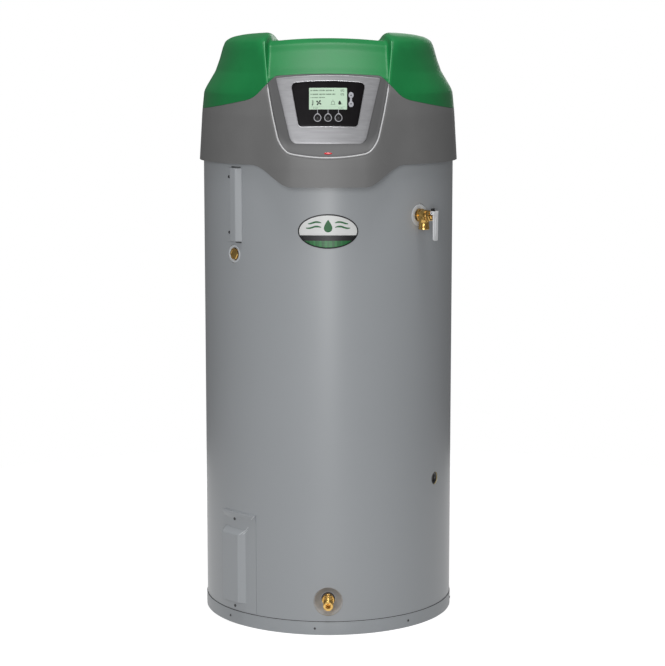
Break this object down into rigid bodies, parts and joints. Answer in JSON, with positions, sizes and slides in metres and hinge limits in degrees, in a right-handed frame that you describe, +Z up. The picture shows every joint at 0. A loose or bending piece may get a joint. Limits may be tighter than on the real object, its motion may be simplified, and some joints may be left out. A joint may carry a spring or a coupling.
{
  "type": "tank water heater",
  "caption": "Floor-standing condensing gas tank water heater with a hooded top, a leaning display panel, a relief valve and a drain valve.",
  "frame": {"origin": "on the floor, on the axis of the tank", "axes": "+Z up, the display faces -Y, +X to the right of someone who faces the display"},
  "size_m": [0.7268, 0.88, 1.646],
  "materials": {
    "jacket_paint": "satin light grey paint",
    "cover_paint": "satin light grey paint",
    "base_paint": "satin grey paint",
    "galvanised": "galvanised sheet",
    "screw_steel": "zinc plated",
    "foam": "rigid foam",
    "tank_steel": "glass lined steel",
    "stainless": "stainless tube",
    "brass": "cast and turned",
    "anode": "dull",
    "black_plastic": "moulded",
    "dam_ring": "moulded ring",
    "lever_white": "white coated",
    "bright_dish": "bright pressed",
    "shroud_grey": "moulded satin",
    "cover_green": "moulded semi-gloss",
    "fascia": "brushed",
    "bezel_black": "smooth black",
    "lens": "backlit display",
    "board": "circuit board",
    "key_black": "black key with pale ring",
    "key_grey": "grey key",
    "light_red": "clear red",
    "badge": "printed plate",
    "vent_plastic": "white pipe",
    "cast_aluminium": "cast",
    "motor_black": "black paint",
    "gas_steel": "black pipe",
    "knob_red": "moulded"
  },
  "bodies": {
    "tank": {"base_pan": "galvanised", "base_ring": "base_paint", "base_ring_screws": "screw_steel", "outer_jacket": "jacket_paint", "foam_insulation": "foam", "top_pan": "galvanised", "tank_shell": "tank_steel", "top_head": "tank_steel", "bottom_head": "tank_steel", "tank_spuds": "tank_steel", "anode_rods": "anode", "cold_inlet_nipple": "galvanised", "hot_outlet_nipple": "galvanised", "upper_tap_plug": "brass", "lower_tap_cap": "black_plastic", "foam_dam_rings": "dam_ring", "temperature_probes": "brass", "combustion_chamber": "tank_steel", "heat_exchanger_coil": "tank_steel", "flue_outlet_pipe": "stainless", "exhaust_elbow": "vent_plastic", "condensate_trap": "vent_plastic", "burner": "stainless", "burner_flange": "cast_aluminium", "igniter": "stainless", "flame_sensor": "stainless", "blower_housing": "cast_aluminium", "blower_motor": "motor_black", "gas_air_mixer": "cast_aluminium", "air_intake_pipe": "vent_plastic", "gas_valve": "cast_aluminium", "gas_inlet_pipe": "gas_steel", "control_box": "galvanised", "relief_valve_body": "brass", "relief_valve_bonnet": "brass", "relief_lever_pin": "screw_steel", "drain_valve_body": "brass", "drain_dish": "bright_dish", "channel_cover": "cover_paint", "access_cover": "cover_paint", "cover_screws": "screw_steel", "badge_plate": "badge", "lower_shroud": "shroud_grey", "cable_bushing": "black_plastic", "status_light": "light_red", "control_panel": "fascia", "display_bezel": "bezel_black", "display_lens": "lens", "display_board": "board"},
    "relief_lever": {"relief_valve_lever": "lever_white"},
    "relief_stem": {"relief_valve_stem": "brass"},
    "drain_stem": {"drain_valve_stem": "brass"},
    "blower_wheel": {"blower_impeller": "cast_aluminium"},
    "gas_knob": {"gas_valve_knob": "knob_red"},
    "top_cover": {"top_cover": "cover_green"},
    "left_key": {"key_left": "key_black"},
    "middle_key": {"key_middle": "key_black"},
    "right_key": {"key_right": "key_black"},
    "up_key": {"key_up": "key_grey"},
    "down_key": {"key_down": "key_grey"}
  },
  "joints": [
    {"name": "left_key_press", "type": "slide", "parent": "tank", "child": "left_key", "axis": [0, 0.9676, -0.2524], "range_m": [0, 0.001], "stiffness_N_per_m": 400, "springref_m": -0.002},
    {"name": "middle_key_press", "type": "slide", "parent": "tank", "child": "middle_key", "axis": [0, 0.9676, -0.2524], "range_m": [0, 0.001], "stiffness_N_per_m": 400, "springref_m": -0.002},
    {"name": "right_key_press", "type": "slide", "parent": "tank", "child": "right_key", "axis": [0, 0.9676, -0.2524], "range_m": [0, 0.001], "stiffness_N_per_m": 400, "springref_m": -0.002},
    {"name": "up_key_press", "type": "slide", "parent": "tank", "child": "up_key", "axis": [0, 0.9676, -0.2524], "range_m": [0, 0.001], "stiffness_N_per_m": 400, "springref_m": -0.002},
    {"name": "down_key_press", "type": "slide", "parent": "tank", "child": "down_key", "axis": [0, 0.9676, -0.2524], "range_m": [0, 0.001], "stiffness_N_per_m": 400, "springref_m": -0.002},
    {"name": "relief_lever_lift", "type": "hinge", "parent": "tank", "child": "relief_lever", "pos_m": [0.28595, -0.28595, 1.16], "axis": [-0.7071, -0.7071, 0], "range_deg": [0, 90], "stiffness_Nm_per_rad": 0.15, "springref_deg": -11.46},
    {"name": "relief_stem_lift", "type": "slide", "parent": "tank", "child": "relief_stem", "axis": [0.7071, -0.7071, 0], "range_m": [0, 0.004]},
    {"name": "drain_stem_turn", "type": "hinge", "parent": "tank", "child": "drain_stem", "pos_m": [0, -0.3524, 0.11], "axis": [0, 0, 1], "range_deg": [0, 90]},
    {"name": "blower_wheel_spin", "type": "hinge", "parent": "tank", "child": "blower_wheel", "pos_m": [-0.075, 0.06, 1.355], "axis": [0, 0, 1], "continuous": true},
    {"name": "gas_knob_turn", "type": "hinge", "parent": "tank", "child": "gas_knob", "pos_m": [0.15, 0.06, 1.43], "axis": [0, 0, 1], "range_deg": [0, 90]},
    {"name": "top_cover_lift", "type": "slide", "parent": "tank", "child": "top_cover", "axis": [0, 0, 1], "range_m": [0, 0.35]}
  ],
  "couplings": [
    {"joint": "relief_stem_lift", "follows": "relief_lever_lift", "m_per_rad": 0.0025465}
  ]
}
